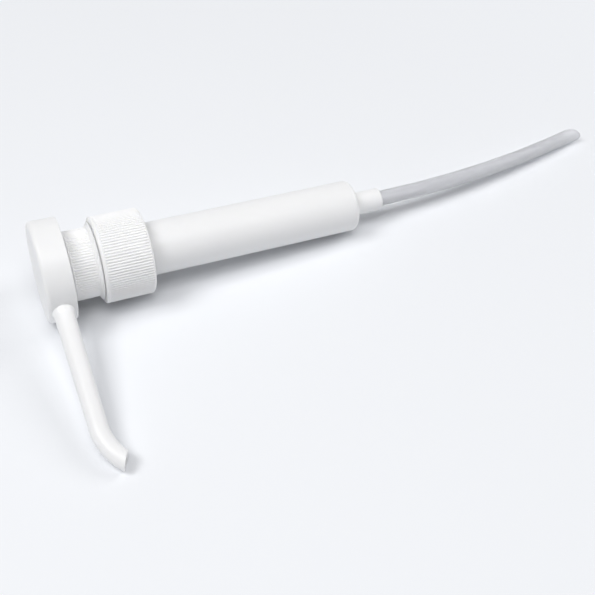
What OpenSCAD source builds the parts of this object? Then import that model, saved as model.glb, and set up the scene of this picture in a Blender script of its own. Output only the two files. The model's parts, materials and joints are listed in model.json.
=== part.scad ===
// Jug dispensing pump, lying on a table with its head locked down.
// Every piece is drawn upright on the pump axis: z = 0 is the sealing plane on the lip of the jug's
// neck and z grows towards the palm head. The laid() module then puts the whole pump on its side.

/* [Palm head] */
// Diameter of the palm disc
head_d = 51; // [48:0.5:56]
// Height of the palm disc
head_h = 14; // [13:0.5:18]
// Rounding of the disc's palm edge
head_edge_r = 2.2; // [1:0.1:3]
// Wall of the hollow disc
head_wall = 2; // [1.6:0.1:2.6]
// Thickness of the palm plate
head_plate_t = 2.4; // [2:0.1:3]
// Gap between the locked-down head and the collar
head_gap = 0.5; // [0.3:0.1:1]
// Number of stiffening ribs under the palm plate
head_rib_count = 8; // [6:1:10]
// Thickness of a stiffening rib
head_rib_t = 1.2; // [1:0.1:1.6]
// How far the ribs stay above the disc's open edge
head_rib_recess = 3; // [2:0.5:5]
// Height of the lock boss under the disc
lock_boss_h = 9; // [7:0.5:10]
// Wall of the lock boss and of the stem socket
boss_wall = 1.5; // [1.2:0.1:1.8]

/* [Spout] */
// Height of the spout's root above the disc's open edge
spout_root_h = 7.1; // [6.5:0.1:8]
// Diameter at the pump axis
spout_root_d = 10.2; // [9.8:0.1:11.2]
// Diameter along the bent tip
spout_tip_d = 9; // [8.4:0.1:9.6]
// Diameter of the passage
spout_bore_d = 5.6; // [4.4:0.1:6]
// Length from the pump axis to the start of the bend
spout_straight = 89; // [70:0.5:100]
// Bend radius of the tip
spout_bend_r = 29; // [24:1:60]
// Angle of the bend
spout_bend = 41.5; // [25:0.5:45]
// Slant of the cut across the tip
spout_cut = 23; // [0:1:40]
// Length of the flare where the spout leaves the disc
spout_flare_h = 4; // [2:0.5:6]
// Extra radius of the flare at the disc's wall
spout_flare_r = 1; // [0.4:0.1:1.2]

/* [Stem and piston] */
// Diameter of the hollow stem
stem_d = 12; // [11.6:0.1:12.4]
// Bore of the stem
stem_bore_d = 6.4; // [5.6:0.1:6.8]
// Pumping stroke from locked down to fully up
stroke = 64; // [50:1:68]
// Diameter of the stem's tail, which carries the piston
tail_d = 9.6; // [9.2:0.1:10]
// Diameter of the stop flange above the piston
stop_d = 17; // [15:0.5:18]
// Height of the piston seal's web
web_h = 6; // [5:0.5:8]
// Height of each piston lip
lip_h = 3.5; // [3:0.1:4.5]
// Thickness of a piston lip
lip_t = 1; // [0.8:0.1:1.2]
// Thickness of the retainer's flange
retainer_flange_t = 2; // [1.6:0.1:2.4]
// Length of the retainer's nose below its flange
retainer_nose_h = 8; // [6:0.5:10]

/* [Lock collar] */
// Wall of the collar behind its ribs
collar_wall = 2.8; // [2.4:0.05:3.2]
// Height of the collar
collar_h = 14.4; // [13:0.1:16]
// Thickness of the collar's top wall
collar_top_t = 2.2; // [1.8:0.1:2.6]
// Depth of the stem guide below the collar's top
guide_depth = 15; // [14:0.5:16]
// Thickness of the guide's floor
guide_floor_t = 2; // [1.6:0.1:2.4]
// Thickness of the stem wiper
wiper_t = 2.2; // [1.8:0.1:2.4]
// Number of grip ribs round the collar
collar_ribs = 78; // [60:2:90]
// Depth of the collar's grip ribs
collar_rib_depth = 0.3; // [0.2:0.05:0.5]
// Plain band at each end of the collar's ribs
collar_band = 1; // [0.9:0.1:1.2]
// Rounding of the collar's upper edge
collar_edge_r = 0.9; // [0.4:0.1:0.9]
// How far the collar's foot stands out past its ribs
foot_out = 2.1; // [1.6:0.1:2.3]
// Height of the foot's straight edge
foot_edge = 0.5; // [0.5:0.1:0.8]
// Slope of the foot's upper face
foot_slope = 33; // [28:1:38]

/* [Screw closure] */
// Wall of the closure behind its ribs
closure_wall = 2.35; // [1.8:0.05:3]
// Height of the closure
closure_h = 25; // [22:0.1:28]
// Bore at the root of its thread, for a 38 mm jug neck
closure_bore_d = 38.1; // [37.8:0.1:38.4]
// Thickness of the closure's top wall
closure_top_t = 1.8; // [1.6:0.1:2.6]
// Rounding of the closure's shoulder
closure_shoulder_r = 1; // [0.6:0.1:1.4]
// Rounding of the closure's open edge
closure_edge_r = 1; // [0.6:0.1:1.4]
// Plain band above the closure's ribs
closure_band = 1.8; // [1.6:0.1:5]
// Number of grip ribs round the closure
closure_ribs = 96; // [72:4:108]
// Depth of the closure's grip ribs
closure_rib_depth = 0.45; // [0.3:0.05:0.6]
// Step between the ribs and the plain ends of their drum
rib_step = 0.05; // [0.02:0.01:0.1]
// Share of a rib's pitch that its foot takes
rib_foot = 0.72; // [0.6:0.02:0.8]
// Share of a rib's pitch that its tip takes
rib_tip = 0.24; // [0.16:0.02:0.4]

/* [Housing] */
// Diameter of the pump housing
housing_d = 27; // [26.6:0.1:27.4]
// Wall of the pump housing
housing_wall = 1.4; // [1.2:0.05:1.6]
// Length of the housing below the sealing plane
housing_h = 133.5; // [128:0.5:150]
// Thickness of the housing's floor
housing_floor_t = 2.2; // [1.8:0.1:2.8]
// Rounding of the housing's lower shoulder
housing_shoulder_r = 2.6; // [2:0.1:5]
// Wall of the neck above the flange
neck_wall = 2.2; // [1.8:0.1:2.6]
// Room between the closure's bore and the flange that the closure pulls down
flange_room = 1.55; // [1:0.05:2]
// Thickness of the flange
flange_t = 2; // [1.6:0.1:2.6]
// Diameter of the spigot that holds the dip tube
spigot_d = 12; // [11.4:0.1:13]
// Length of the spigot
spigot_h = 17; // [16:0.5:20]
// Rounding of the spigot's end
spigot_edge_r = 1.2; // [0.6:0.1:1.5]
// Diameter of the air vent hole
vent_d = 1.6; // [1:0.1:2]
// Distance of the vent hole below the sealing plane
vent_drop = 5; // [4:0.5:8]
// Height of the snap bead between collar and neck
snap_h = 1.4; // [1:0.1:1.8]
// Depth of the snap bead
snap_depth = 0.4; // [0.3:0.05:0.5]
// Height of the snap bead above the collar's lower edge
snap_rise = 3; // [2:0.5:5]

/* [Gasket] */
// Room between the closure's bore and the gasket
gasket_room = 1.25; // [0.8:0.05:1.8]
// Thickness of the gasket
gasket_t = 1.5; // [1:0.1:2.5]

/* [Valves] */
// Diameter of the inlet ball
inlet_ball_d = 9.5; // [9:0.1:10]
// Lift of the inlet ball off its seat
inlet_lift = 3; // [2:0.1:4]
// Diameter of the inlet passage
inlet_bore_d = 5.4; // [4.6:0.1:5.6]
// Thickness of the cage's flange, which carries the spring
cage_flange_t = 1.6; // [1.2:0.1:2]
// Wall of the cage
cage_wall = 1.6; // [1.4:0.1:1.8]
// Number of flow windows in the cage
cage_windows = 4; // [3:1:5]
// Width of a flow window
cage_window_w = 3.4; // [2.5:0.1:4]
// Diameter of the outlet ball
outlet_ball_d = 8; // [7.6:0.1:8.2]
// Lift of the outlet ball off its seat
outlet_lift = 2.5; // [1.5:0.1:3]
// Diameter of the post that stops the outlet ball
stop_post_d = 3; // [2.4:0.1:3.4]
// Side room of a ball in its cage
ball_room = 0.5; // [0.4:0.05:0.6]

/* [Return spring] */
// Diameter of the spring's wire
wire_d = 1.6; // [1.2:0.1:1.8]
// Mean diameter of the coil
coil_d = 18.4; // [18:0.1:18.8]
// Number of turns
coil_turns = 18; // [12:1:20]
// Gap left in the flattened end turns
coil_end_gap = 0.5; // [0.42:0.02:0.6]

/* [Dip tube] */
// Outer diameter of the dip tube
tube_d = 8.2; // [7.5:0.1:8.5]
// Wall of the dip tube
tube_wall = 1.2; // [1:0.1:1.4]
// Length of the tube inside the spigot
tube_grip = 14; // [10:0.5:14.5]
// Free length of the tube below the spigot
tube_free = 143; // [120:1:160]
// Radius of the tube's set from being stored on a roll
tube_set_r = 520; // [400:10:1500]
// Slant of the cut across the tube's end
tube_cut = 45; // [30:1:60]

/* [Fits] */
// Rounding of the small moulded edges
mould_r = 0.4; // [0.2:0.05:0.5]
// Radial clearance of a running fit
run_clear = 0.05; // [0.03:0.01:0.08]
// Clearance between pieces that seat on each other
seat_clear = 0.05; // [0.02:0.01:0.1]
// Axial play of pieces that turn on each other
play = 0.3; // [0.2:0.05:0.5]
// Radial room for the lock thread
thread_room = 0.45; // [0.3:0.05:0.6]

/* [Hidden] */
$fn = 96;

// Overshoot of a cut past the face it opens
cut = 1;
// Half angle of both valve seats
seat_angle = 45;

// Radii
head_r = head_d / 2;
stem_r = stem_d / 2;
stem_bore_r = stem_bore_d / 2;
tail_r = tail_d / 2;
bore_r = housing_d / 2 - housing_wall;
neck_r = bore_r + neck_wall;
neck_fit_r = neck_r + seat_clear;
collar_r = neck_fit_r + collar_wall + collar_rib_depth + rib_step;
foot_r = collar_r + foot_out;
closure_bore_r = closure_bore_d / 2;
closure_r = closure_bore_r + closure_wall + closure_rib_depth + rib_step;
guide_r = stem_r + run_clear;
sleeve_r = bore_r - seat_clear;
lock_bore_r = sleeve_r - boss_wall;
lock_boss_r = lock_bore_r - thread_room;
socket_r = stem_r + boss_wall;
piston_r = bore_r - run_clear;
retainer_r = piston_r - lip_t - play;
nose_r = tail_r + run_clear + boss_wall;
spout_bore_r = spout_bore_d / 2;
spout_root_r = spout_root_d / 2;
spout_tip_r = spout_tip_d / 2;
inlet_ball_r = inlet_ball_d / 2;
inlet_bore_r = inlet_bore_d / 2;
inlet_seat_r = inlet_ball_r + ball_room;
cage_r = inlet_seat_r + cage_wall;
outlet_ball_r = outlet_ball_d / 2;
outlet_seat_r = outlet_ball_r + ball_room;
tube_r = tube_d / 2;
wire_r = wire_d / 2;
coil_r = coil_d / 2;

// Levels from the sealing plane up to the palm face
flange_top = gasket_t + flange_t;
closure_under = flange_top + play;
closure_top = closure_under + closure_top_t;
closure_bottom = closure_top - closure_h;
collar_bottom = closure_top + play;
collar_top = collar_bottom + collar_h;
neck_top = collar_top - collar_top_t - seat_clear;
guide_bottom = collar_top - guide_depth;
guide_floor = guide_bottom + guide_floor_t;
head_under = collar_top + head_gap;
head_top = head_under + head_h;
head_ceiling = head_top - head_plate_t;
boss_bottom = head_under - lock_boss_h;
spout_z = head_under + spout_root_h;
snap_z = collar_bottom + snap_rise;

// Levels of the outlet valve in the top of the stem
stem_top = spout_z - spout_bore_r - 2 * seat_clear;
post_end = stem_top + seat_clear;
outlet_z = post_end - outlet_lift - outlet_ball_r;
outlet_seat_top = outlet_z - ball_height(outlet_ball_r, outlet_seat_r);

// Levels of the piston, which stops under the stem guide when the head is fully up
piston_top = guide_bottom - stroke - play;
web_top = piston_top - lip_h;
web_bottom = web_top - web_h;
piston_bottom = web_bottom - lip_h;
spring_top = web_bottom - seat_clear - retainer_flange_t;
nose_end = spring_top - retainer_nose_h;

// Levels of the inlet valve on the housing's floor
housing_floor = -housing_h + housing_floor_t;
inlet_z = housing_floor + ball_height(inlet_ball_r, inlet_seat_r);
spring_bottom = housing_floor + seat_clear + cage_flange_t;
cage_ceiling = inlet_z + inlet_ball_r + inlet_lift + seat_clear;
cage_top = cage_ceiling + cage_wall;

// Levels of the spigot and the dip tube
spigot_end = -housing_h - spigot_h;
tube_top = spigot_end + tube_grip;
tube_sweep = tube_free / tube_set_r * 180 / PI;
tube_end = spigot_end - tube_set_r * sin(tube_sweep);
tube_rest = tube_end + tube_r * tan(tube_cut) * cos(tube_sweep);

// Place of the spout's tip, out from the pump axis and up from the sealing plane
tip_out = spout_straight + spout_bend_r * sin(spout_bend);
tip_z = spout_z - spout_bend_r * (1 - cos(spout_bend));
// Sweep past the tip's centre, up to the far end of its slanted cut
tip_over = 2 * asin(spout_tip_d * tan(spout_cut) / 2 / spout_bend_r);

// Resting pose: the disc's open edge, the under side of the dip tube's end and the spout's tip touch the table
lie_tilt = atan((head_r - tube_r) / (head_under - tube_rest));
axis_height = head_r * cos(lie_tilt) - head_under * sin(lie_tilt);
tip_drop = axis_height + tip_z * sin(lie_tilt) - spout_tip_r;
lie_roll = asin(tip_drop / (tip_out * cos(lie_tilt)));

// Height of a ball's centre above the wide end of a conical seat of radius seat_r
function ball_height(ball_r, seat_r) =
    (ball_r + seat_clear) / sin(seat_angle) - seat_r / tan(seat_angle);

// Points of one turn-by-turn coil: wire rings of 6 sides along a helix that flattens at both ends
coil_rings = 8;
wire_sides = 6;
coil_steps = coil_turns * coil_rings;
end_pitch = wire_d + coil_end_gap;
mid_pitch = (spring_top - spring_bottom - wire_d - 2 * seat_clear - 2 * end_pitch) / (coil_turns - 2);
function coil_rise(turn) =
    turn < 1 ? end_pitch * turn :
    turn > coil_turns - 1 ? end_pitch + mid_pitch * (coil_turns - 2) + end_pitch * (turn - coil_turns + 1) :
    end_pitch + mid_pitch * (turn - 1);
function coil_ring(step) = [
    for (side = [0:wire_sides - 1])
        let (around = 360 * step / coil_rings, tilt = 360 * side / wire_sides)
            [
                (coil_r + wire_r * cos(tilt)) * cos(around),
                (coil_r + wire_r * cos(tilt)) * sin(around),
                coil_rise(step / coil_rings) + wire_r * sin(tilt)
            ]
];
function side_after(side) = (side + 1) % wire_sides;
coil_points = [for (step = [0:coil_steps]) each coil_ring(step)];
coil_walls = [
    for (step = [0:coil_steps - 1], side = [0:wire_sides - 1])
        let (low = step * wire_sides, high = low + wire_sides)
            each [
                [low + side, high + side, high + side_after(side)],
                [low + side, high + side_after(side), low + side_after(side)]
            ]
];
coil_start = [for (side = [1:wire_sides - 2]) [0, side, side + 1]];
coil_stop = [
    for (side = [1:wire_sides - 2])
        let (last = coil_steps * wire_sides)
            [last, last + side + 1, last + side]
];
coil_gaps = [
    for (step = [0:coil_steps - coil_rings])
        coil_rise(step / coil_rings + 1) - coil_rise(step / coil_rings) - wire_d
];
echo(least_gap_between_spring_turns = min(coil_gaps));
echo(dose_ml = PI * bore_r * bore_r * stroke / 1000);
echo(lie_tilt = lie_tilt, lie_roll = lie_roll, axis_height = axis_height, tube_end = tube_end);

// Lays the upright pump on the table: spout towards -Y, dip tube towards +X
module laid() {
    rotate([0, lie_tilt - 90, 0])
        rotate([0, 0, -90 - lie_roll])
            children();
}

// Ring between two radii and two levels
module ring(outer, inner, low, high) {
    translate([0, 0, low])
        difference() {
            cylinder(r = outer, h = high - low);
            translate([0, 0, -cut])
                cylinder(r = inner, h = high - low + 2 * cut);
        }
}

// Conical valve seat that opens upwards to seat_r at level top and closes to passage_r below
module seat_cone(seat_r, passage_r, top) {
    depth = (seat_r - passage_r) / tan(seat_angle);
    translate([0, 0, top - depth])
        cylinder(r1 = passage_r, r2 = seat_r, h = depth);
}

// Turned disc whose upper and lower outer edges are rounded
module rounded_disc(radius, low, high, low_round, high_round) {
    rotate_extrude() {
        translate([0, low])
            square([radius - max(low_round, high_round), high - low]);
        translate([0, low + low_round])
            square([radius, high - low - low_round - high_round]);
        if (low_round > 0)
            translate([radius - low_round, low + low_round])
                circle(low_round);
        if (high_round > 0)
            translate([radius - high_round, high - high_round])
                circle(high_round);
        translate([0, low])
            square([radius - low_round, high - low - high_round]);
        translate([0, low + low_round])
            square([radius - high_round, high - low - low_round]);
    }
}

// Prism of grip ribs with their tips at radius
module rib_prism(radius, count, depth, low, high) {
    pitch = 360 / count;
    root_r = radius - depth;
    translate([0, 0, low])
        linear_extrude(high - low)
            polygon([
                for (rib = [0:count - 1], corner = [[-rib_foot, root_r], [-rib_tip, radius], [rib_tip, radius], [rib_foot, root_r]])
                    let (around = pitch * (rib + corner[0] / 2))
                        [corner[1] * cos(around), corner[1] * sin(around)]
            ]);
}

// Ribbed drum: ribs between a rounded lower edge, a step inside their roots, and a band, a step outside their tips
module ribbed_drum(radius, count, depth, low, high, low_round, high_round, low_band, high_band) {
    rib_r = radius - rib_step;
    rib_low = low + low_band;
    rib_high = high - high_band / 2;
    rounded_disc(rib_r - depth - rib_step, low, (rib_low + rib_high) / 2, low_round, mould_r);
    rib_prism(rib_r, count, depth, rib_low, rib_high);
    rounded_disc(radius, high - high_band, high, 0, high_round);
}

// Straight run and bent tip of a round rod along the spout, with radii at the pump axis and along the tip
module spout_rod(root_r, tip_r) {
    rotate([0, 90, 0])
        cylinder(r1 = root_r, r2 = tip_r, h = spout_straight);
    translate([spout_straight, 0, -spout_bend_r])
        rotate([-90, 0, 0])
            rotate([0, 0, -90])
                rotate_extrude(angle = spout_bend + tip_over)
                    translate([spout_bend_r, 0])
                        circle(tip_r);
}

// Solid spout with the flare where it leaves the disc's wall
module spout() {
    spout_rod(spout_root_r, spout_tip_r);
    translate([head_r - head_wall, 0, 0])
        rotate([0, 90, 0])
            cylinder(r1 = spout_root_r + spout_flare_r, r2 = spout_tip_r, h = head_wall + spout_flare_h);
}

// Block that cuts the spout's tip at a slant, longer along its upper side
module tip_cut() {
    translate([tip_out, 0, tip_z])
        rotate([0, spout_bend + spout_cut, 0])
            translate([0, -spout_root_d, -spout_root_d])
                cube(2 * spout_root_d);
}

// Palm disc, spout, stem socket and lock boss in one hollow moulding
module pump_head() {
    color("white")
        difference() {
            union() {
                difference() {
                    rounded_disc(head_r, head_under, head_top, mould_r, head_edge_r);
                    translate([0, 0, head_under - cut])
                        cylinder(r = head_r - head_wall, h = head_ceiling - head_under + cut);
                }
                ring(lock_boss_r, lock_boss_r - boss_wall, boss_bottom, head_ceiling);
                ring(socket_r, stem_r + seat_clear, boss_bottom, head_ceiling);
                for (rib = [0:head_rib_count - 1])
                    rotate(360 * (rib + 0.5) / head_rib_count)
                        translate([lock_boss_r - boss_wall / 2, -head_rib_t / 2, head_under + head_rib_recess])
                            cube([
                                head_r - head_wall / 2 - lock_boss_r + boss_wall / 2,
                                head_rib_t,
                                head_ceiling - head_under - head_rib_recess
                            ]);
                difference() {
                    translate([0, 0, spout_z])
                        spout();
                    translate([0, 0, boss_bottom])
                        cylinder(r = stem_r + seat_clear, h = head_ceiling - boss_bottom);
                }
                translate([0, 0, post_end])
                    cylinder(d = stop_post_d, h = head_ceiling - post_end + seat_clear);
            }
            difference() {
                translate([0, 0, spout_z])
                    spout_rod(spout_bore_r, spout_bore_r);
                translate([0, 0, post_end])
                    cylinder(d = stop_post_d, h = head_ceiling - post_end);
            }
            tip_cut();
        }
}

// Hollow stem with the outlet valve's seat in its top and the piston's tail at its foot
module stem() {
    color("white")
        difference() {
            union() {
                translate([0, 0, web_top + seat_clear])
                    cylinder(r = stem_r, h = stem_top - web_top - seat_clear);
                translate([0, 0, web_top + seat_clear])
                    cylinder(d = stop_d, h = lip_h - seat_clear);
                translate([0, 0, nose_end])
                    cylinder(r = tail_r, h = web_top + 2 * seat_clear - nose_end);
            }
            translate([0, 0, nose_end - cut])
                cylinder(r = stem_bore_r, h = stem_top - nose_end + 2 * cut);
            seat_cone(outlet_seat_r, stem_bore_r, outlet_seat_top);
            translate([0, 0, outlet_seat_top])
                cylinder(r = outlet_seat_r, h = stem_top - outlet_seat_top + cut);
        }
}

// Steel ball that closes the stem between strokes
module outlet_ball() {
    color("silver")
        translate([0, 0, outlet_z])
            sphere(outlet_ball_r);
}

// Soft piston with a sealing lip at each end of its web
module piston_seal() {
    color("gainsboro")
        rotate_extrude()
            polygon([
                [tail_r + run_clear, web_top],
                [tail_r + run_clear, web_bottom],
                [retainer_r + play, web_bottom],
                [piston_r - lip_t, piston_bottom],
                [piston_r, piston_bottom],
                [piston_r - lip_t / 2, web_bottom],
                [piston_r - lip_t / 2, web_top],
                [piston_r, piston_top],
                [piston_r - lip_t, piston_top],
                [retainer_r + play, web_top]
            ]);
}

// Cap that holds the piston on the stem's tail and centres the spring
module piston_retainer() {
    color("whitesmoke") {
        ring(retainer_r, tail_r + seat_clear, spring_top, spring_top + retainer_flange_t);
        ring(nose_r, tail_r + seat_clear, nose_end, spring_top);
    }
}

// Flared foot of the collar, which covers the hole in the closure
module collar_foot() {
    inside = neck_fit_r - cut;
    buried = collar_r - collar_wall / 2;
    top = collar_bottom + foot_edge + (foot_r - buried) * tan(foot_slope);
    rotate_extrude()
        polygon([
            [inside, collar_bottom], [foot_r - mould_r, collar_bottom], [foot_r, collar_bottom + mould_r],
            [foot_r, collar_bottom + foot_edge], [buried, top], [inside, top]
        ]);
}

// Ribbed collar: snaps over the housing's neck, guides the stem and takes the head's lock boss
module lock_collar() {
    color("white")
        difference() {
            union() {
                difference() {
                    union() {
                        ribbed_drum(
                            collar_r, collar_ribs, collar_rib_depth, collar_bottom, collar_top,
                            mould_r, collar_edge_r, collar_band, collar_band
                        );
                        collar_foot();
                    }
                    translate([0, 0, collar_bottom - cut])
                        cylinder(r = neck_fit_r, h = neck_top + seat_clear - collar_bottom + cut);
                }
                ring(neck_fit_r + seat_clear, neck_fit_r - snap_depth, snap_z, snap_z + snap_h);
                translate([0, 0, guide_bottom])
                    cylinder(r = sleeve_r, h = collar_top - collar_top_t / 2 - guide_bottom);
            }
            translate([0, 0, guide_floor])
                cylinder(r = lock_bore_r, h = collar_top - guide_floor + cut);
            translate([0, 0, guide_bottom - cut])
                cylinder(r = guide_r, h = guide_floor - guide_bottom + 2 * cut);
        }
}

// Ring that wipes the stem on the guide's floor
module stem_wiper() {
    color("gainsboro")
        ring(lock_bore_r - seat_clear, guide_r, guide_floor + seat_clear, guide_floor + seat_clear + wiper_t);
}

// Ribbed screw closure that turns freely between the housing's flange and the collar
module screw_closure() {
    color("white")
        difference() {
            ribbed_drum(
                closure_r, closure_ribs, closure_rib_depth, closure_bottom, closure_top,
                closure_edge_r, closure_shoulder_r, closure_edge_r, closure_band
            );
            translate([0, 0, closure_bottom - cut])
                cylinder(r = closure_bore_r, h = closure_under - closure_bottom + cut);
            translate([0, 0, closure_under - cut])
                cylinder(r = neck_r + play, h = closure_top_t + 2 * cut);
        }
}

// Flat ring that seals the housing's flange on the jug's lip
module neck_gasket() {
    color("lightgray")
        ring(closure_bore_r - gasket_room, housing_d / 2 + seat_clear, 0, gasket_t - seat_clear);
}

// Pump cylinder with its flange and neck, the inlet seat and the spigot for the dip tube
module housing() {
    color("white")
        difference() {
            union() {
                rounded_disc(housing_d / 2, -housing_h, flange_top, housing_shoulder_r, mould_r);
                translate([0, 0, gasket_t])
                    cylinder(r = closure_bore_r - flange_room, h = flange_t);
                ring(neck_r, bore_r, gasket_t, snap_z - seat_clear);
                ring(neck_fit_r - snap_depth - seat_clear, bore_r, gasket_t, neck_top);
                ring(neck_r, bore_r, snap_z + snap_h + seat_clear, neck_top);
                rounded_disc(spigot_d / 2, spigot_end, -housing_h + housing_shoulder_r, spigot_edge_r, mould_r);
            }
            translate([0, 0, housing_floor])
                cylinder(r = bore_r, h = neck_top - housing_floor + cut);
            seat_cone(inlet_seat_r, inlet_bore_r, housing_floor);
            translate([0, 0, tube_top - cut])
                cylinder(r = inlet_bore_r, h = housing_floor - tube_top + cut);
            translate([0, 0, spigot_end - cut])
                cylinder(r = tube_r + seat_clear, h = tube_grip + seat_clear + cut);
            translate([0, 0, -vent_drop])
                rotate([90, 0, 0])
                    cylinder(d = vent_d, h = housing_d);
        }
}

// Steel coil between the piston's retainer and the inlet cage, held short by the locked head
module return_spring() {
    color("silver")
        translate([0, 0, spring_bottom + seat_clear + wire_r])
            polyhedron(coil_points, concat(coil_walls, coil_start, coil_stop));
}

// Cage that keeps the inlet ball near its seat and carries the spring
module inlet_cage() {
    color("whitesmoke")
        difference() {
            union() {
                translate([0, 0, housing_floor + seat_clear])
                    cylinder(r = bore_r - seat_clear, h = cage_flange_t);
                translate([0, 0, housing_floor + seat_clear])
                    cylinder(r = cage_r, h = cage_top - housing_floor - seat_clear);
            }
            translate([0, 0, housing_floor - cut])
                cylinder(r = inlet_seat_r, h = cage_ceiling - housing_floor + cut);
            translate([0, 0, cage_ceiling - cut])
                cylinder(r = inlet_bore_r / 2, h = cage_wall + 2 * cut);
            for (window = [0:cage_windows - 1])
                rotate(360 * window / cage_windows)
                    translate([0, -cage_window_w / 2, inlet_z])
                        cube([cage_r + cut, cage_window_w, cage_ceiling - inlet_z]);
        }
}

// Steel ball that closes the inlet on the down stroke
module inlet_ball() {
    color("silver")
        translate([0, 0, inlet_z])
            sphere(inlet_ball_r);
}

// Straight grip and curved free run of the dip tube, at one radius
module tube_run(radius) {
    translate([0, 0, spigot_end])
        cylinder(r = radius, h = tube_grip);
    translate([tube_set_r, 0, spigot_end])
        rotate([90, 0, 0])
            rotate([0, 0, 180])
                rotate_extrude(angle = tube_sweep)
                    translate([tube_set_r, 0])
                        circle(radius);
}

// Stiff polyethylene tube with its set lying flat on the table and its end cut at a slant
module dip_tube() {
    color("lightgray")
        rotate(180 + lie_roll)
            difference() {
                tube_run(tube_r);
                tube_run(tube_r - tube_wall);
                translate([tube_set_r * (1 - cos(tube_sweep)), 0, tube_end])
                    rotate([0, -tube_sweep, 0])
                        translate([-tube_r, 0, 0])
                            rotate([0, -tube_cut, 0])
                                translate([-tube_d, -tube_d, -3 * tube_d])
                                    cube([6 * tube_d, 2 * tube_d, 3 * tube_d]);
            }
}

laid() pump_head();
laid() stem();
laid() outlet_ball();
laid() piston_seal();
laid() piston_retainer();
laid() lock_collar();
laid() stem_wiper();
laid() screw_closure();
laid() neck_gasket();
laid() housing();
laid() return_spring();
laid() inlet_cage();
laid() inlet_ball();
laid() dip_tube();
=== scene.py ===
"""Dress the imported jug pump.

The solids of the pack get moulded, extruded, foam and steel finishes. The two screw threads and the
wound return spring are modelled here, and so are the table, the light and the camera.
"""

import json
import logging
import math
from dataclasses import dataclass, fields
from enum import Enum

import bpy
from mathutils import Matrix, Vector


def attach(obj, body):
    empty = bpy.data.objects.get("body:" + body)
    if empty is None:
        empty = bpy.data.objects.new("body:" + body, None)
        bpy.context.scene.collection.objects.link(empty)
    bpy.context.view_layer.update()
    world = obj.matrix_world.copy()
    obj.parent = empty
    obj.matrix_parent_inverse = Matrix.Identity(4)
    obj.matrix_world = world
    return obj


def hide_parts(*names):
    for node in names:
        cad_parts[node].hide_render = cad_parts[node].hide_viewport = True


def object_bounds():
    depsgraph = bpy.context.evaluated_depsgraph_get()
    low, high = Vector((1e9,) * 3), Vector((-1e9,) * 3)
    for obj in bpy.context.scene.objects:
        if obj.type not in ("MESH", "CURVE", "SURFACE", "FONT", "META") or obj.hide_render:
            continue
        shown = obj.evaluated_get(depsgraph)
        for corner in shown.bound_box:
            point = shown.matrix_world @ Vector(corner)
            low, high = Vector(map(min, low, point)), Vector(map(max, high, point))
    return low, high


logging.basicConfig(level=logging.INFO, format="%(name)s: %(message)s")
LOG = logging.getLogger("jug_pump")
MM = 0.001
SAME_PLACE = 1e-6
Colour = tuple[float, float, float]
Point = tuple[float, float, float]
Range = tuple[float, float]
Socket = bpy.types.NodeSocket

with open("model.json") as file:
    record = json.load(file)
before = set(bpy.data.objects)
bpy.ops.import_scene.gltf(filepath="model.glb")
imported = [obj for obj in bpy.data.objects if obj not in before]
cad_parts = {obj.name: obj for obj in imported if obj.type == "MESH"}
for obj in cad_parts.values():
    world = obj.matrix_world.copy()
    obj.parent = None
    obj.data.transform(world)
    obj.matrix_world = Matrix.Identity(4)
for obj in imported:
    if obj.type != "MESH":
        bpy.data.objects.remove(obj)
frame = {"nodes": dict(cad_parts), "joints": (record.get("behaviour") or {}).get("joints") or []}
CAD_BOX = [list(corner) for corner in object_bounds()]


class Body(Enum):
    """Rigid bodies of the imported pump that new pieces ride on."""

    HOUSING = "housing_body"
    CLOSURE = "closure_body"
    HEAD = "head_body"


class Side(Enum):
    """Which way a thread's ridge stands out of its round wall."""

    OUTWARD = 1
    INWARD = -1


class PumpAxis:
    """Frame of the lying pump: the axis points from the jug's sealing plane to the palm head."""

    def __init__(self) -> None:
        """Read the axis from the stroke joint."""
        stroke = next(joint for joint in frame["joints"] if joint["name"] == "pump_stroke")
        self.up = Vector(stroke["axis"]).normalized()
        self.tilt = math.atan2(self.up.z, -self.up.x)

    def matrix(self) -> Matrix:
        """Find the turn that lays a piece modelled upright on the Z axis.

        Returns:
            The turn as a matrix of four rows.
        """
        side = Vector((0.0, -1.0, 0.0))
        across = self.up.cross(side)
        return Matrix((side, across, self.up)).transposed().to_4x4()


AXIS = PumpAxis()


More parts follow.
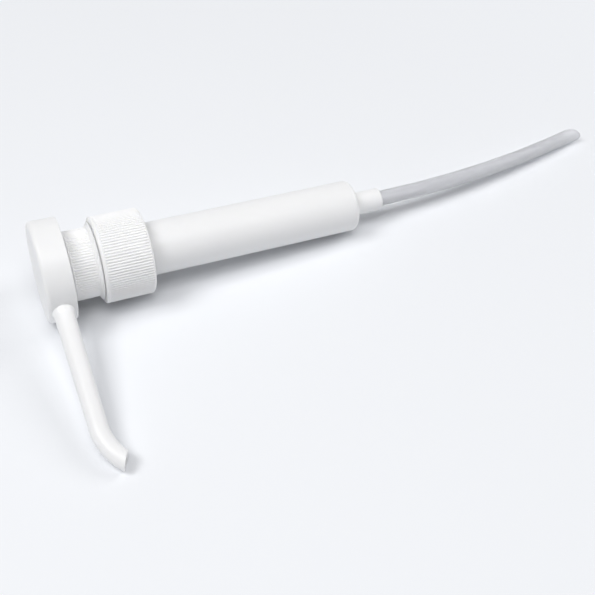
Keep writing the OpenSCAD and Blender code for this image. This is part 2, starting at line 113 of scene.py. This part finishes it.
class NodeBench:
    """Node tree of one new material, with short calls that add and wire its nodes."""

    noise_roughness: float = 0.55
    noise_middle: Range = (0.3, 0.7)
    ramp_ends: Range = (0.32, 0.68)

    def __init__(self, name: str) -> None:
        """Start a material that has only its output and the place of its patterns.

        Args:
            name: Name of the material.
        """
        self.material = bpy.data.materials.new(name)
        self.material.use_nodes = True
        self.tree = self.material.node_tree
        self.tree.nodes.clear()
        self.output = self.add("ShaderNodeOutputMaterial")
        self.place = self.add("ShaderNodeMapping")
        self.fill(self.place, Rotation=(0.0, AXIS.tilt, 0.0))
        self.wire(self.add("ShaderNodeTexCoord").outputs["Object"], self.place.inputs["Vector"])

    def add(self, kind: str, **settings: object) -> bpy.types.Node:
        """Add a node.

        Args:
            kind: Blender's name of the node type.
            settings: Properties of the node.

        Returns:
            The new node.
        """
        node = self.tree.nodes.new(kind)
        for key, value in settings.items():
            setattr(node, key, value)
        return node

    def wire(self, source: Socket, target: Socket) -> None:
        """Link two sockets."""
        self.tree.links.new(source, target)

    def fill(self, node: bpy.types.Node, **values: object) -> None:
        """Set values straight on the sockets of a node.

        Args:
            node: The node.
            values: Values by socket, with the spaces of a socket's name written as underscores.
        """
        for key, value in values.items():
            node.inputs[key.replace("_", " ")].default_value = value

    def noise(self, cells: float, detail: float, stretch: Point = (1.0, 1.0, 1.0)) -> Socket:
        """Add a noise texture that is laid along the pump axis.

        Args:
            cells: Cells per metre.
            detail: Octaves of finer noise.
            stretch: Scale along the pump axis, across it and up.

        Returns:
            The noise's value socket.
        """
        place = self.add("ShaderNodeMapping")
        self.fill(place, Scale=stretch)
        self.wire(self.place.outputs["Vector"], place.inputs["Vector"])
        texture = self.add("ShaderNodeTexNoise")
        self.fill(texture, Scale=cells, Detail=detail, Roughness=self.noise_roughness)
        self.wire(place.outputs["Vector"], texture.inputs["Vector"])
        return texture.outputs["Fac"]

    def spread(self, value: Socket, low: float, high: float) -> Socket:
        """Spread the middle of a noise over a range.

        Args:
            value: Noise value around one half.
            low: Result at the noise's low values.
            high: Result at the noise's high values.

        Returns:
            The spread value's socket.
        """
        node = self.add("ShaderNodeMapRange")
        start, end = self.noise_middle
        self.fill(node, From_Min=start, From_Max=end, To_Min=low, To_Max=high)
        self.wire(value, node.inputs["Value"])
        return node.outputs["Result"]

    def blend(self, value: Socket, first: Colour, second: Colour) -> Socket:
        """Blend two colours by a noise value.

        Args:
            value: Noise value around one half.
            first: Colour at the low values.
            second: Colour at the high values.

        Returns:
            The colour socket.
        """
        ramp = self.add("ShaderNodeValToRGB")
        stops = zip(ramp.color_ramp.elements, self.ramp_ends, (first, second))
        for stop, position, colour in stops:
            stop.position = position
            stop.color = (*colour, 1.0)
        self.wire(value, ramp.inputs["Fac"])
        return ramp.outputs["Color"]

    def bump(self, height: Socket, depth: float, under: Socket | None = None) -> Socket:
        """Turn a height into a bumped normal.

        Args:
            height: Height from 0 to 1.
            depth: Depth of the relief in metres.
            under: Normal that this one is added to.

        Returns:
            The normal socket.
        """
        node = self.add("ShaderNodeBump")
        self.fill(node, Distance=depth)
        self.wire(height, node.inputs["Height"])
        if under is not None:
            self.wire(under, node.inputs["Normal"])
        return node.outputs["Normal"]

    def surface(self, **constants: object) -> bpy.types.Node:
        """Add the surface shader and wire it to the output.

        Args:
            constants: Values for the shader's sockets, with spaces written as underscores.

        Returns:
            The shader node.
        """
        shader = self.add("ShaderNodeBsdfPrincipled")
        self.fill(shader, **constants)
        self.wire(shader.outputs["BSDF"], self.output.inputs["Surface"])
        return shader


@dataclass(frozen=True)
class MouldedFinish:
    """Injection moulded plastic: faint flow tones, uneven gloss, orange peel and a fine grain.

    Cells are counted per metre, and the depths of peel and grain are in metres.
    """

    name: str
    tone: Colour
    shade: Colour
    gloss: Range
    peel: float = 24e-6
    grain: float = 8e-6
    glow: float = 0.2
    glow_depth: Point = (0.0022, 0.0022, 0.0020)
    refraction: float = 1.49
    flow_cells: float = 34.0
    flow_stretch: Point = (0.5, 1.0, 1.0)
    gloss_cells: float = 210.0
    peel_cells: float = 260.0
    grain_cells: float = 2400.0

    def make(self) -> bpy.types.Material:
        """Make the material.

        Returns:
            The finished material.
        """
        bench = NodeBench(self.name)
        shader = bench.surface(
            IOR=self.refraction,
            Subsurface_Weight=self.glow,
            Subsurface_Radius=self.glow_depth,
            Subsurface_Scale=1.0,
        )
        flow = bench.noise(self.flow_cells, detail=3.0, stretch=self.flow_stretch)
        bench.wire(bench.blend(flow, self.shade, self.tone), shader.inputs["Base Color"])
        patches = bench.noise(self.gloss_cells, detail=4.0)
        bench.wire(bench.spread(patches, *self.gloss), shader.inputs["Roughness"])
        peel = bench.bump(bench.noise(self.peel_cells, detail=1.0), self.peel)
        grain = bench.bump(bench.noise(self.grain_cells, detail=2.0), self.grain, peel)
        bench.wire(grain, shader.inputs["Normal"])
        return bench.material


@dataclass(frozen=True)
class ExtrudedFinish:
    """Translucent extruded tube with draw lines along its length.

    Cells are counted per metre, and the depth of the lines is in metres.
    """

    name: str
    tone: Colour
    shade: Colour
    gloss: Range
    clear: float
    refraction: float = 1.51
    tone_cells: float = 520.0
    gloss_cells: float = 330.0
    gloss_stretch: Point = (0.15, 1.0, 1.0)
    line_cells: float = 900.0
    line_stretch: Point = (0.02, 1.0, 1.0)
    line_depth: float = 20e-6

    def make(self) -> bpy.types.Material:
        """Make the material.

        Returns:
            The finished material.
        """
        bench = NodeBench(self.name)
        shader = bench.surface(IOR=self.refraction, Transmission_Weight=self.clear)
        streaks = bench.noise(self.tone_cells, detail=3.0, stretch=self.line_stretch)
        bench.wire(bench.blend(streaks, self.shade, self.tone), shader.inputs["Base Color"])
        patches = bench.noise(self.gloss_cells, detail=4.0, stretch=self.gloss_stretch)
        bench.wire(bench.spread(patches, *self.gloss), shader.inputs["Roughness"])
        lines = bench.noise(self.line_cells, detail=2.0, stretch=self.line_stretch)
        bench.wire(bench.bump(lines, self.line_depth), shader.inputs["Normal"])
        return bench.material


@dataclass(frozen=True)
class FoamFinish:
    """Closed-cell foam of a sealing ring.

    Cells are counted per metre, and their depth is in metres.
    """

    name: str
    tone: Colour
    shade: Colour
    gloss: Range = (0.7, 0.9)
    refraction: float = 1.45
    cells: float = 2600.0
    cell_depth: float = 40e-6
    gloss_cells: float = 700.0

    def make(self) -> bpy.types.Material:
        """Make the material.

        Returns:
            The finished material.
        """
        bench = NodeBench(self.name)
        shader = bench.surface(IOR=self.refraction)
        cells = bench.add("ShaderNodeTexVoronoi")
        bench.fill(cells, Scale=self.cells)
        bench.wire(bench.place.outputs["Vector"], cells.inputs["Vector"])
        depth = cells.outputs["Distance"]
        bench.wire(bench.blend(depth, self.shade, self.tone), shader.inputs["Base Color"])
        patches = bench.noise(self.gloss_cells, detail=2.0)
        bench.wire(bench.spread(patches, *self.gloss), shader.inputs["Roughness"])
        bench.wire(bench.bump(depth, self.cell_depth), shader.inputs["Normal"])
        return bench.material


@dataclass(frozen=True)
class SteelFinish:
    """Bare stainless steel with fine marks from drawing or polishing.

    Cells are counted per metre, and the depth of the marks is in metres.
    """

    name: str
    tone: Colour
    shade: Colour
    gloss: Range
    marks: float
    tone_cells: float = 300.0
    gloss_cells: float = 1500.0
    gloss_stretch: Point = (0.2, 1.0, 1.0)
    mark_cells: float = 2200.0
    mark_stretch: Point = (0.1, 1.0, 1.0)

    def make(self) -> bpy.types.Material:
        """Make the material.

        Returns:
            The finished material.
        """
        bench = NodeBench(self.name)
        shader = bench.surface(Metallic=1.0)
        tones = bench.noise(self.tone_cells, detail=4.0)
        bench.wire(bench.blend(tones, self.shade, self.tone), shader.inputs["Base Color"])
        patches = bench.noise(self.gloss_cells, detail=3.0, stretch=self.gloss_stretch)
        bench.wire(bench.spread(patches, *self.gloss), shader.inputs["Roughness"])
        marks = bench.noise(self.mark_cells, detail=2.0, stretch=self.mark_stretch)
        bench.wire(bench.bump(marks, self.marks), shader.inputs["Normal"])
        return bench.material


@dataclass(frozen=True)
class TableFinish:
    """Pale table top that takes soft shadows round the pump and runs to an even tone further out.

    The even tone starts at the first reach of fade and is full at the second, both in metres.
    """

    name: str
    tone: Colour
    shade: Colour
    backdrop: Colour
    even: float
    fade: Range
    cells: float = 3.0

    def make(self) -> bpy.types.Material:
        """Make the material.

        Returns:
            The finished material.
        """
        bench = NodeBench(self.name)
        shader = bench.surface(Roughness=0.85, IOR=1.3, Specular_IOR_Level=0.1)
        tones = bench.noise(self.cells, detail=2.0)
        bench.wire(bench.blend(tones, self.shade, self.tone), shader.inputs["Base Color"])
        even_tone = bench.add("ShaderNodeEmission")
        bench.fill(even_tone, Color=(*self.backdrop, 1.0))
        reach = bench.add("ShaderNodeVectorMath", operation="LENGTH")
        bench.wire(bench.place.outputs["Vector"], reach.inputs[0])
        fade = bench.add("ShaderNodeMapRange", interpolation_type="SMOOTHSTEP")
        start, end = self.fade
        bench.fill(fade, From_Min=start, From_Max=end, To_Min=self.even, To_Max=1.0)
        bench.wire(reach.outputs["Value"], fade.inputs["Value"])
        share = bench.add("ShaderNodeMath", operation="MULTIPLY")
        bench.wire(seen_directly(bench.tree), share.inputs[0])
        bench.wire(fade.outputs["Result"], share.inputs[1])
        mix = bench.add("ShaderNodeMixShader")
        bench.wire(share.outputs["Value"], mix.inputs["Fac"])
        bench.wire(shader.outputs["BSDF"], mix.inputs[1])
        bench.wire(even_tone.outputs["Emission"], mix.inputs[2])
        bench.wire(mix.outputs["Shader"], bench.output.inputs["Surface"])
        return bench.material


def seen_directly(tree: bpy.types.NodeTree) -> Socket:
    """Add the test for what the eye sees straight, in a reflection or through a clear piece.

    Args:
        tree: Node tree of the table or the world.

    Returns:
        A socket that is 1 for such a ray and 0 for one that only carries light.
    """
    path = tree.nodes.new("ShaderNodeLightPath")
    value = path.outputs["Is Camera Ray"]
    for kind in ("Is Glossy Ray", "Is Transmission Ray"):
        either = tree.nodes.new("ShaderNodeMath")
        either.operation = "MAXIMUM"
        tree.links.new(value, either.inputs[0])
        tree.links.new(path.outputs[kind], either.inputs[1])
        value = either.outputs["Value"]
    return value


def name_piece(name: str) -> bpy.types.Object:
    """Name the primitive that was just added.

    Args:
        name: Name of the piece.

    Returns:
        The new object.
    """
    piece = bpy.context.active_object
    piece.name = name
    piece.data.name = name
    return piece


def wind(piece: bpy.types.Object, turns: float, rise: float, steps: int) -> None:
    """Wind an open or closed outline round the Z axis and apply the result.

    Args:
        piece: The active object, a mesh of edges in the XZ plane.
        turns: Number of turns.
        rise: Height that all turns climb together, in metres.
        steps: Number of steps of all turns together.
    """
    screw = piece.modifiers.new("screw", "SCREW")
    screw.angle = 2 * math.pi * turns
    screw.screw_offset = rise
    screw.steps = screw.render_steps = steps
    screw.use_merge_vertices = False
    bpy.ops.object.modifier_apply(modifier=screw.name)


def close_shape() -> None:
    """Close the open ends of the active mesh and point its faces outwards."""
    bpy.ops.object.mode_set(mode="EDIT")
    bpy.ops.mesh.select_mode(type="EDGE")
    bpy.ops.mesh.select_all(action="DESELECT")
    bpy.ops.mesh.select_non_manifold()
    bpy.ops.mesh.fill()
    bpy.ops.mesh.select_all(action="SELECT")
    bpy.ops.mesh.normals_make_consistent(inside=False)
    bpy.ops.object.mode_set(mode="OBJECT")


def lay_down(piece: bpy.types.Object) -> None:
    """Turn a piece modelled upright onto the pump axis and keep its place in its mesh.

    Args:
        piece: The active object, at the origin.
    """
    piece.matrix_world = AXIS.matrix()
    bpy.ops.object.transform_apply(location=True, rotation=True, scale=True)


@dataclass
class ScrewThread:
    """Ridge of a moulded screw thread that fades at both ends, with its sizes in millimetres."""

    name: str
    body: Body
    side: Side
    wall_r: float
    height: float
    foot_w: float
    crest_w: float
    pitch: float
    turns: float
    start_z: float
    sunk: float = 0.2
    steps_per_turn: int = 72
    corners: int = 4
    fade: float = 0.09
    stub: float = 0.12
    crease: float = 40.0

    def steps(self) -> int:
        """Return the number of steps of all turns together."""
        return round(self.steps_per_turn * self.turns)

    def build(self) -> bpy.types.Object:
        """Model the ridge and lay it on the pump axis.

        Returns:
            The ridge.
        """
        reach = self.side.value
        near, far = self.wall_r - reach * self.sunk, self.wall_r + reach * self.height
        bpy.ops.object.select_all(action="DESELECT")
        bpy.ops.mesh.primitive_plane_add(
            size=1.0,
            location=((near + far) / 2 * MM, 0.0, self.start_z * MM),
            rotation=(math.pi / 2, 0.0, 0.0),
        )
        piece = name_piece(self.name)
        piece.scale = (abs(far - near) * MM, self.foot_w * MM, 1.0)
        bpy.ops.object.transform_apply(location=True, rotation=True, scale=True)
        self.narrow_crest(piece, far * MM)
        wind(piece, self.turns, self.pitch * self.turns * MM, self.steps())
        self.fade_ends(piece)
        close_shape()
        bpy.ops.object.shade_smooth_by_angle(angle=math.radians(self.crease))
        lay_down(piece)
        return piece

    def narrow_crest(self, piece: bpy.types.Object, crest_x: float) -> None:
        """Narrow the outline's crest and keep only its edges.

        Args:
            piece: The active object, a plane as wide as the ridge's foot.
            crest_x: Distance of the crest from the axis, in metres.
        """
        for vertex in piece.data.vertices:
            vertex.select = abs(vertex.co.x - crest_x) < SAME_PLACE
        bpy.ops.object.mode_set(mode="EDIT")
        bpy.ops.transform.resize(
            value=(1.0, 1.0, self.crest_w / self.foot_w),
            center_override=(0.0, 0.0, self.start_z * MM),
        )
        bpy.ops.mesh.select_all(action="SELECT")
        bpy.ops.mesh.delete(type="ONLY_FACE")
        bpy.ops.object.mode_set(mode="OBJECT")

    def fade_ends(self, piece: bpy.types.Object) -> None:
        """Sink the ridge into its wall at both ends.

        Args:
            piece: The wound ridge, upright on the origin.
        """
        near = (self.wall_r - self.side.value * self.sunk) * MM
        for index, vertex in enumerate(piece.data.vertices):
            along = index // self.corners / self.steps()
            share = min(1.0, min(along, 1.0 - along) / self.fade)
            radius = math.hypot(vertex.co.x, vertex.co.y)
            held = near + (radius - near) * max(self.stub, math.sin(share * math.pi / 2))
            vertex.co.x *= held / radius
            vertex.co.y *= held / radius

    def dress(self, piece: bpy.types.Object, finish: bpy.types.Material, slot: str) -> None:
        """Finish the ridge and set it on its body.

        Args:
            piece: The built ridge.
            finish: Material of the ridge.
            slot: Material slot of the record; not used.
        """
        piece.data.materials.append(finish)
        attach(piece, self.body.value)


@dataclass
class ReturnSpring:
    """Steel coil under the piston, held short by the locked head, with its sizes in millimetres."""

    name: str = "return_spring_wire"
    wire_d: float = 1.6
    coil_d: float = 18.4
    turns: int = 18
    end_gap: float = 0.5
    low_z: float = -128.8
    high_z: float = -71.4
    steps_per_turn: int = 48
    sides: int = 12
    crease: float = 50.0

    def rise(self, turn: float) -> float:
        """Find how high the wire has climbed, with its end turns drawn together.

        Args:
            turn: Number of turns from the lower end.

        Returns:
            Height above the lower end, in millimetres.
        """
        end = self.wire_d + self.end_gap
        inner = self.turns - 2
        middle = (self.high_z - self.low_z - 2 * end) / inner
        if turn < 1:
            return end * turn
        if turn > self.turns - 1:
            return end + middle * inner + end * (turn - self.turns + 1)
        return end + middle * (turn - 1)

    def build(self) -> bpy.types.Object:
        """Model the coil and lay it on the pump axis.

        Returns:
            The coil.
        """
        bpy.ops.object.select_all(action="DESELECT")
        bpy.ops.mesh.primitive_circle_add(
            vertices=self.sides,
            radius=self.wire_d / 2 * MM,
            location=(self.coil_d / 2 * MM, 0.0, self.low_z * MM),
            rotation=(math.pi / 2, 0.0, 0.0),
        )
        piece = name_piece(self.name)
        bpy.ops.object.transform_apply(location=True, rotation=True, scale=True)
        steps = self.steps_per_turn * self.turns
        wind(piece, self.turns, (self.high_z - self.low_z) * MM, steps)
        self.flatten_ends(piece)
        close_shape()
        bpy.ops.object.shade_smooth_by_angle(angle=math.radians(self.crease))
        lay_down(piece)
        return piece

    def flatten_ends(self, piece: bpy.types.Object) -> None:
        """Draw the end turns together, as a ground spring has them.

        Args:
            piece: The evenly wound coil, upright on the origin.
        """
        even = (self.high_z - self.low_z) / self.turns
        for index, vertex in enumerate(piece.data.vertices):
            turn = index // self.sides / self.steps_per_turn
            vertex.co.z += (self.rise(turn) - even * turn) * MM

    def dress(self, piece: bpy.types.Object, finish: bpy.types.Material) -> None:
        """Finish the coil and let it stand for its plain solid.

        Args:
            piece: The built coil.
            finish: Material of the wire.
        """
        piece.data.materials.append(finish)
        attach(piece, Body.HOUSING.value)
        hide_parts("return_spring")


@dataclass
class Mouldings:
    """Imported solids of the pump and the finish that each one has."""

    white: MouldedFinish = MouldedFinish(
        "white_moulding",
        tone=(0.865, 0.865, 0.868),
        shade=(0.848, 0.849, 0.854),
        gloss=(0.33, 0.44),
    )
    # Same white plastic as the white finish, painted lighter to stand in for the light that the
    # head's shadow and the ribs' shade take from the collar.
    collar: MouldedFinish = MouldedFinish(
        "white_collar_painted_light",
        tone=(0.925, 0.925, 0.927),
        shade=(0.91, 0.911, 0.915),
        gloss=(0.40, 0.52),
        peel=12e-6,
        glow=0.4,
    )
    # Same white plastic as the white finish, painted lighter to stand in for the light that the
    # ribs' shade takes from the closure.
    closure: MouldedFinish = MouldedFinish(
        "white_closure_painted_light",
        tone=(0.885, 0.885, 0.887),
        shade=(0.868, 0.869, 0.873),
        gloss=(0.40, 0.52),
        peel=12e-6,
        glow=0.4,
    )
    natural: MouldedFinish = MouldedFinish(
        "natural_moulding",
        tone=(0.70, 0.71, 0.70),
        shade=(0.65, 0.66, 0.66),
        gloss=(0.36, 0.5),
    )
    soft: MouldedFinish = MouldedFinish(
        "soft_moulding",
        tone=(0.74, 0.75, 0.75),
        shade=(0.69, 0.70, 0.71),
        gloss=(0.42, 0.58),
    )
    tube: ExtrudedFinish = ExtrudedFinish(
        "clear_grey_tube",
        tone=(0.85, 0.852, 0.866),
        shade=(0.775, 0.777, 0.791),
        gloss=(0.52, 0.66),
        clear=0.8,
    )
    foam: FoamFinish = FoamFinish(
        "foam_ring",
        tone=(0.80, 0.80, 0.78),
        shade=(0.68, 0.68, 0.66),
    )
    ball: SteelFinish = SteelFinish(
        "polished_ball",
        tone=(0.66, 0.66, 0.67),
        shade=(0.60, 0.60, 0.61),
        gloss=(0.06, 0.16),
        marks=1e-6,
    )
    wire: SteelFinish = SteelFinish(
        "drawn_wire",
        tone=(0.58, 0.58, 0.58),
        shade=(0.50, 0.50, 0.50),
        gloss=(0.2, 0.34),
        marks=3e-6,
    )

    def dress(self) -> dict[str, bpy.types.Material]:
        """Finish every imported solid.

        Returns:
            The materials by the field of their finish.
        """
        made = {field.name: getattr(self, field.name).make() for field in fields(self)}
        wear = {
            "pump_head": "white",
            "stem": "white",
            "housing": "white",
            # The collar and the closure wear copies of the white that are painted lighter to stand
            # in for shade.
            "lock_collar": "collar",
            "screw_closure": "closure",
            "piston_retainer": "natural",
            "inlet_cage": "natural",
            "piston_seal": "soft",
            "stem_wiper": "soft",
            "neck_gasket": "foam",
            "dip_tube": "tube",
            "outlet_ball": "ball",
            "inlet_ball": "ball",
            "return_spring": "wire",
        }
        for node, finish in wear.items():
            frame["nodes"][node].material_slots[0].material = made[finish]
            LOG.info("%s has the finish %s", node, made[finish].name)
        return made


@dataclass
class SoftBox:
    """Large square studio lamp."""

    name: str
    place: Point
    watts: float
    aim: Point = (0.02, -0.02, 0.02)
    size: float = 1.0

    def build(self) -> None:
        """Add the lamp to the scene."""
        lamp = bpy.data.lights.new(self.name, "AREA")
        lamp.shape = "SQUARE"
        lamp.size = self.size
        lamp.energy = self.watts
        holder = bpy.data.objects.new(self.name, lamp)
        bpy.context.scene.collection.objects.link(holder)
        holder.visible_camera = False
        holder.location = self.place
        view = Vector(self.aim) - Vector(self.place)
        holder.rotation_euler = view.to_track_quat("-Z", "Y").to_euler()


@dataclass
class Studio:
    """Pale table, soft light and the photograph's camera."""

    table_size: float = 8.0
    table_cuts: int = 4
    table_tone: Colour = (0.843, 0.858, 0.887)
    table_shade: Colour = (0.837, 0.852, 0.881)
    sky: float = 0.26
    even: float = 0.02
    fade: Range = (0.18, 0.8)
    pale: Colour = (0.905, 0.922, 0.956)
    lamps: tuple[SoftBox, ...] = (
        SoftBox("main_lamp", place=(-1.10, 0.0, 1.96), watts=26.2),
        SoftBox("tube_lamp", place=(1.83, 0.0, 1.31), watts=13.6),
        SoftBox("front_lamp", place=(0.0, -0.77, 2.114), watts=15.8),
    )
    camera_place: Point = (-0.04352, -0.35669, 0.34039)
    camera_yaw: float = 22.24
    camera_pitch: float = 46.79
    camera_lens: float = 58.99

    def build_table(self) -> None:
        """Lay the pale table under the lowest point of the pump."""
        bpy.ops.object.select_all(action="DESELECT")
        bpy.ops.mesh.primitive_grid_add(
            x_subdivisions=self.table_cuts,
            y_subdivisions=self.table_cuts,
            size=self.table_size,
            location=(0.0, 0.0, CAD_BOX[0][2]),
        )
        table = name_piece("table")
        bpy.ops.object.transform_apply(location=True)
        finish = TableFinish(
            "pale_table",
            tone=self.table_tone,
            shade=self.table_shade,
            backdrop=self.pale,
            even=self.even,
            fade=self.fade,
        )
        table.data.materials.append(finish.make())

    def build_sky(self) -> None:
        """Fill the room with even white light, and show the table's tone behind it."""
        world = bpy.data.worlds.new("studio")
        bpy.context.scene.world = world
        world.use_nodes = True
        tree = world.node_tree
        tree.nodes.clear()
        light = tree.nodes.new("ShaderNodeBackground")
        light.inputs["Strength"].default_value = self.sky
        shown = tree.nodes.new("ShaderNodeBackground")
        shown.inputs["Color"].default_value = (*self.pale, 1.0)
        mix = tree.nodes.new("ShaderNodeMixShader")
        output = tree.nodes.new("ShaderNodeOutputWorld")
        tree.links.new(seen_directly(tree), mix.inputs["Fac"])
        tree.links.new(light.outputs["Background"], mix.inputs[1])
        tree.links.new(shown.outputs["Background"], mix.inputs[2])
        tree.links.new(mix.outputs["Shader"], output.inputs["Surface"])

    def build_lamps(self) -> None:
        """Hang the main lamp over the head's end and weaker ones at the tube's end and in front."""
        for lamp in self.lamps:
            lamp.build()

    def build_camera(self) -> None:
        """Set the camera where the photograph was taken from."""
        yaw, pitch = math.radians(self.camera_yaw), math.radians(self.camera_pitch)
        ahead = math.cos(pitch)
        look = Vector((math.sin(yaw) * ahead, math.cos(yaw) * ahead, -math.sin(pitch)))
        camera = bpy.data.objects.new("camera", bpy.data.cameras.new("camera"))
        bpy.context.scene.collection.objects.link(camera)
        camera.data.lens = self.camera_lens
        camera.location = self.camera_place
        camera.rotation_euler = look.to_track_quat("-Z", "Y").to_euler()
        bpy.context.scene.camera = camera

    def build(self) -> None:
        """Make the whole studio."""
        self.build_table()
        self.build_sky()
        self.build_lamps()
        self.build_camera()
        bpy.context.scene.view_settings.view_transform = "Standard"


def build_threads(made: dict[str, bpy.types.Material]) -> None:
    """Build the closure's neck thread and the head's lock thread.

    Args:
        made: The materials by the field of their finish.
    """
    neck_thread = ScrewThread(
        "neck_thread",
        Body.CLOSURE,
        Side.INWARD,
        wall_r=19.05,
        height=1.0,
        foot_w=2.6,
        crest_w=1.1,
        pitch=4.23,
        turns=1.6,
        start_z=-14.5,
    )
    lock_thread = ScrewThread(
        "lock_thread",
        Body.HEAD,
        Side.OUTWARD,
        wall_r=10.1,
        height=0.38,
        foot_w=1.5,
        crest_w=0.7,
        pitch=3.2,
        turns=1.4,
        start_z=13.0,
    )
    # The neck thread wears the closure's white, which is painted lighter to stand in for the ribs'
    # shade.
    for thread, finish in ((neck_thread, "closure"), (lock_thread, "white")):
        piece = thread.build()
        thread.dress(piece, made[finish], "white_polypropylene")
        LOG.info("%s has %d faces", piece.name, len(piece.data.polygons))


def build_spring(made: dict[str, bpy.types.Material]) -> None:
    """Build the wound return spring.

    Args:
        made: The materials by the field of their finish.
    """
    spring = ReturnSpring()
    piece = spring.build()
    spring.dress(piece, made["wire"])
    LOG.info("%s has %d faces", piece.name, len(piece.data.polygons))


def main() -> None:
    """Build the pump's looks in order."""
    Studio().build()
    made = Mouldings().dress()
    build_threads(made)
    build_spring(made)


if __name__ == "__main__":
    main()
